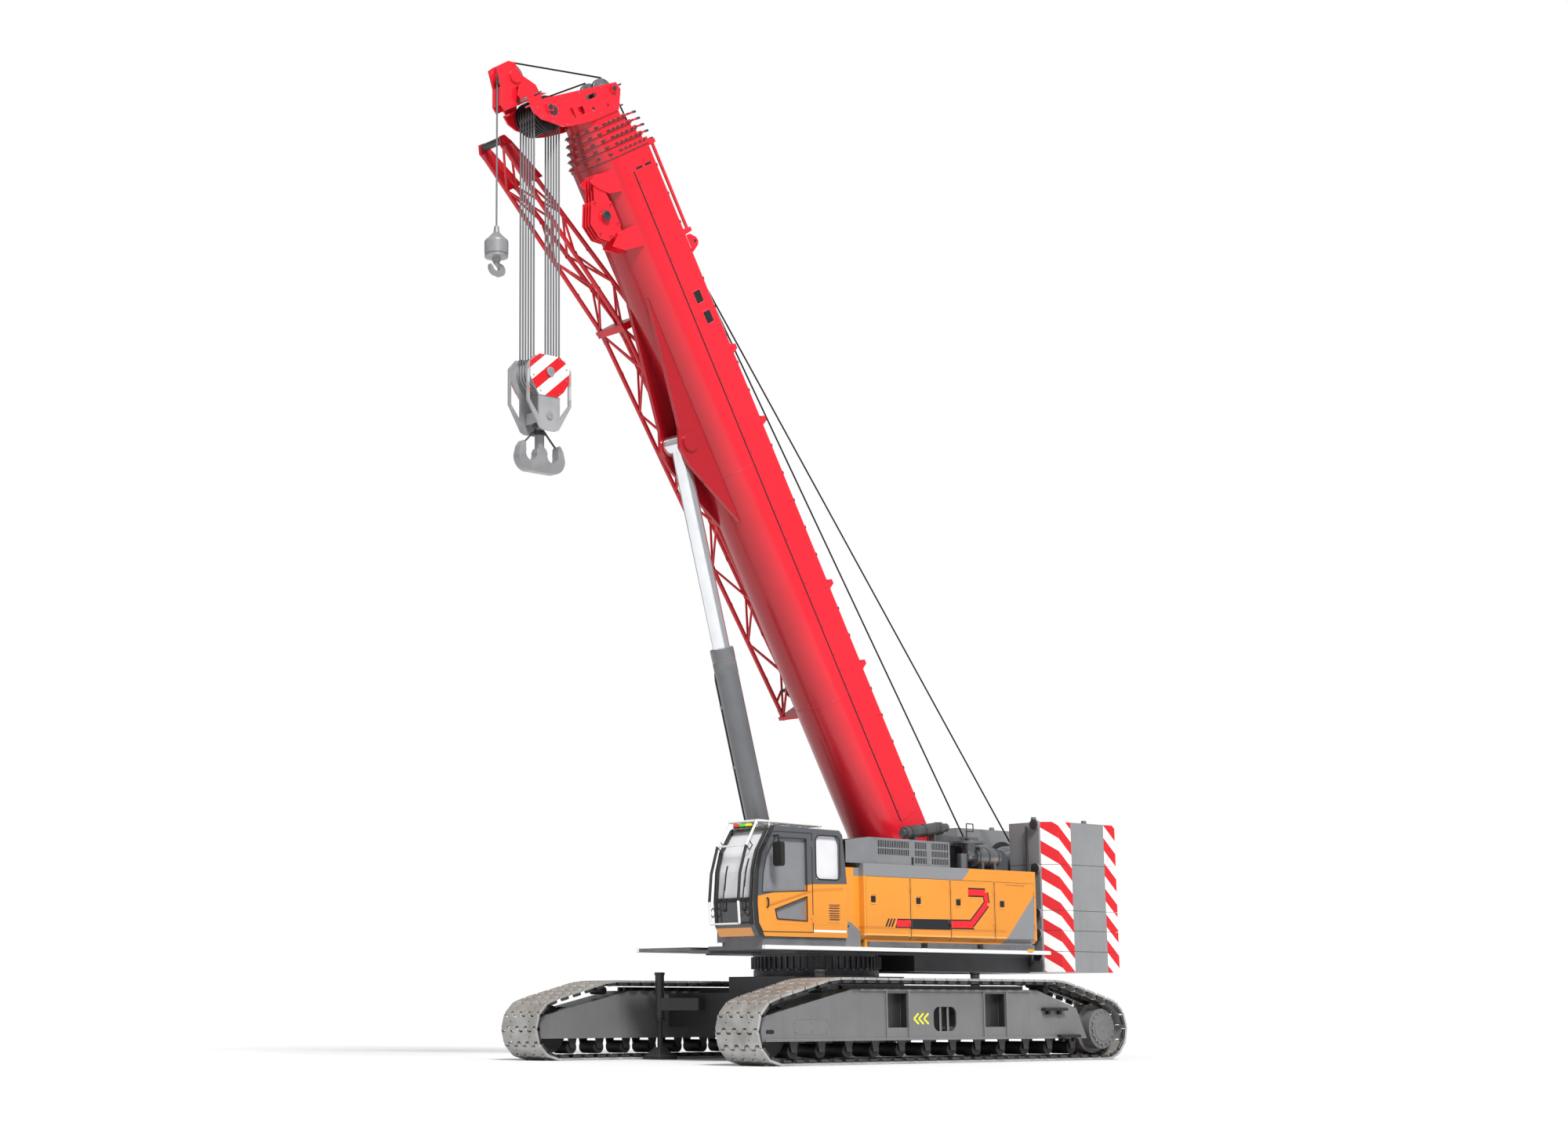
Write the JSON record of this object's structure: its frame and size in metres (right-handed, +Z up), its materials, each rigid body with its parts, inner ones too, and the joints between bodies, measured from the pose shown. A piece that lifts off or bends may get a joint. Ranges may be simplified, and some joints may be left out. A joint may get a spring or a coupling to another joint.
{
  "type": "telescopic boom crawler crane",
  "caption": "Telescopic boom crane on crawler tracks with slewing upperstructure, cab, counterweight, stowed lattice jib, load hook and ball hook.",
  "frame": {"origin": "on the ground under the middle of the crane's overall length and width", "axes": "+X towards the crane's front, +Y to its left (the cab's side), +Z up; the slewing axis stands at x = -0.42 m"},
  "size_m": [12.9719, 6, 15.7967],
  "materials": {
    "undercarriage_grey": "satin paint",
    "track_steel": "painted, worn",
    "ring_steel": "machined",
    "bright_steel": "painted",
    "frame_grey": "satin paint",
    "deck_steel": "satin paint",
    "cab_orange": "gloss paint",
    "cab_trim": "matte",
    "house_orange": "gloss paint",
    "hood_grey": "satin paint",
    "bright_metal": "satin",
    "engine_iron": "cast",
    "ballast_grey": "satin paint",
    "boom_red": "gloss paint",
    "sheave_black": "satin",
    "barrel_grey": "gloss paint",
    "chrome": "polished",
    "rope": "stranded wire",
    "hook_red": "gloss paint",
    "hook_iron": "forged",
    "glass": "tinted",
    "guard_white": "gloss paint",
    "lamp": "clear"
  },
  "bodies": {
    "undercarriage": {"carbody": "undercarriage_grey", "track_frame_left": "undercarriage_grey", "track_frame_right": "undercarriage_grey", "jack_arms": "undercarriage_grey", "final_drives": "undercarriage_grey", "track_left": "track_steel", "track_right": "track_steel", "idlers": "track_steel", "track_rollers": "track_steel", "slewing_ring": "ring_steel", "jack_feet": "bright_steel"},
    "upperstructure": {"turntable_frame": "frame_grey", "winches": "frame_grey", "deck_plates": "deck_steel", "cab_shell": "cab_orange", "cab_interior": "cab_trim", "cab_glass": "glass", "cab_guards": "guard_white", "lamps": "lamp", "muffler": "cab_trim", "engine_house": "house_orange", "louvre_hood": "hood_grey", "right_house": "hood_grey", "air_cleaner": "bright_metal", "engine_block": "engine_iron", "counterweight": "ballast_grey"},
    "cab_door": {"cab_door": "cab_orange", "door_glass": "glass", "mirror": "cab_trim"},
    "engine_door_1": {"engine_door_1": "house_orange"},
    "engine_door_2": {"engine_door_2": "house_orange"},
    "engine_door_3": {"engine_door_3": "house_orange"},
    "engine_door_4": {"engine_door_4": "house_orange"},
    "boom_base": {"boom_base": "boom_red", "spare_block_brackets": "frame_grey", "spare_sheave_block": "boom_red", "jib_lower": "boom_red", "jib_upper": "boom_red", "jib_brackets": "boom_red"},
    "boom_section_2": {"boom_section_2": "boom_red"},
    "boom_section_3": {"boom_section_3": "boom_red"},
    "boom_section_4": {"boom_section_4": "boom_red"},
    "boom_section_5": {"boom_section_5": "boom_red"},
    "boom_head": {"boom_section_6": "boom_red", "boom_head": "boom_red", "aux_bracket": "boom_red", "head_sheaves": "sheave_black", "aux_sheave": "sheave_black", "head_lines": "rope"},
    "main_fall": {"main_falls": "rope", "hook_block": "hook_red"},
    "load_hook": {"ramshorn_hook": "hook_iron"},
    "aux_fall": {"aux_fall": "rope", "ball_hook": "hook_iron"},
    "cylinder_rod": {"cylinder_rod": "chrome"},
    "cylinder_barrel": {"cylinder_barrel": "barrel_grey"},
    "aux_rope": {"aux_rope_leg": "rope"},
    "main_rope": {"main_rope_leg": "rope"}
  },
  "joints": [
    {"name": "slew", "type": "hinge", "parent": "undercarriage", "child": "upperstructure", "pos_m": [-0.42, 0, 1.34], "axis": [0, 0, 1], "continuous": true},
    {"name": "luff", "type": "hinge", "parent": "upperstructure", "child": "boom_base", "pos_m": [-2.97, 0, 3.45], "axis": [0, -1, 0], "range_deg": [-59.8, 22.2]},
    {"name": "cab_door_hinge", "type": "hinge", "parent": "upperstructure", "child": "cab_door", "pos_m": [1.145, 1.508, 2.8], "axis": [0, 0, 1], "range_deg": [0, 90]},
    {"name": "engine_door_1_hinge", "type": "hinge", "parent": "upperstructure", "child": "engine_door_1", "pos_m": [-1.082, 1.508, 2.5], "axis": [0, 0, 1], "range_deg": [0, 100]},
    {"name": "engine_door_2_hinge", "type": "hinge", "parent": "upperstructure", "child": "engine_door_2", "pos_m": [-2.052, 1.508, 2.5], "axis": [0, 0, 1], "range_deg": [0, 100]},
    {"name": "engine_door_3_hinge", "type": "hinge", "parent": "upperstructure", "child": "engine_door_3", "pos_m": [-3.151, 1.508, 2.5], "axis": [0, 0, 1], "range_deg": [0, 100]},
    {"name": "engine_door_4_hinge", "type": "hinge", "parent": "upperstructure", "child": "engine_door_4", "pos_m": [-4.197, 1.508, 2.5], "axis": [0, 0, 1], "range_deg": [0, 100]},
    {"name": "telescope_2", "type": "slide", "parent": "boom_base", "child": "boom_section_2", "axis": [0.503, 0, 0.8643], "range_m": [0, 9.4]},
    {"name": "telescope_3", "type": "slide", "parent": "boom_section_2", "child": "boom_section_3", "axis": [0.503, 0, 0.8643], "range_m": [0, 9.4]},
    {"name": "telescope_4", "type": "slide", "parent": "boom_section_3", "child": "boom_section_4", "axis": [0.503, 0, 0.8643], "range_m": [0, 9.4]},
    {"name": "telescope_5", "type": "slide", "parent": "boom_section_4", "child": "boom_section_5", "axis": [0.503, 0, 0.8643], "range_m": [0, 9.4]},
    {"name": "telescope_6", "type": "slide", "parent": "boom_section_5", "child": "boom_head", "axis": [0.503, 0, 0.8643], "range_m": [0, 9.4]},
    {"name": "main_fall_swing", "type": "hinge", "parent": "boom_head", "child": "main_fall", "pos_m": [5.4676, 0, 14.85], "axis": [0, -1, 0], "range_deg": [-22.2, 59.8]},
    {"name": "load_hook_swivel", "type": "hinge", "parent": "main_fall", "child": "load_hook", "pos_m": [5.4676, 0, 9.9], "axis": [0, 0, 1], "continuous": true},
    {"name": "aux_fall_swing", "type": "hinge", "parent": "boom_head", "child": "aux_fall", "pos_m": [6.0696, 0, 15.3396], "axis": [0, -1, 0], "range_deg": [-22.2, 59.8]},
    {"name": "cylinder_eye", "type": "hinge", "parent": "boom_base", "child": "cylinder_rod", "pos_m": [2.5408, 0, 9.9027], "axis": [0, -1, 0], "range_deg": [-14.95, 5.6]},
    {"name": "cylinder_stroke", "type": "slide", "parent": "cylinder_rod", "child": "cylinder_barrel", "axis": [-0.2667, 0, -0.9638], "range_m": [-3.215, 1.2]},
    {"name": "aux_rope_swing", "type": "hinge", "parent": "boom_base", "child": "aux_rope", "pos_m": [4.2112, 0, 15.55], "axis": [0, -1, 0], "range_deg": [-1.3, 3.3]},
    {"name": "main_rope_swing", "type": "hinge", "parent": "boom_base", "child": "main_rope", "pos_m": [4.2112, 0, 15.55], "axis": [0, -1, 0], "range_deg": [-2.5, 6.5]}
  ],
  "couplings": [
    {"joint": "telescope_3", "follows": "telescope_2", "ratio": 1},
    {"joint": "telescope_4", "follows": "telescope_2", "ratio": 1},
    {"joint": "telescope_5", "follows": "telescope_2", "ratio": 1},
    {"joint": "telescope_6", "follows": "telescope_2", "ratio": 1},
    {"joint": "main_fall_swing", "follows": "luff", "ratio": -1},
    {"joint": "aux_fall_swing", "follows": "luff", "ratio": -1},
    {"joint": "cylinder_eye", "follows": "luff", "ratio": 0.2495},
    {"joint": "cylinder_stroke", "follows": "luff", "m_per_rad": 3.078},
    {"joint": "aux_rope_swing", "follows": "luff", "ratio": -0.0535},
    {"joint": "main_rope_swing", "follows": "luff", "ratio": -0.1068}
  ]
}
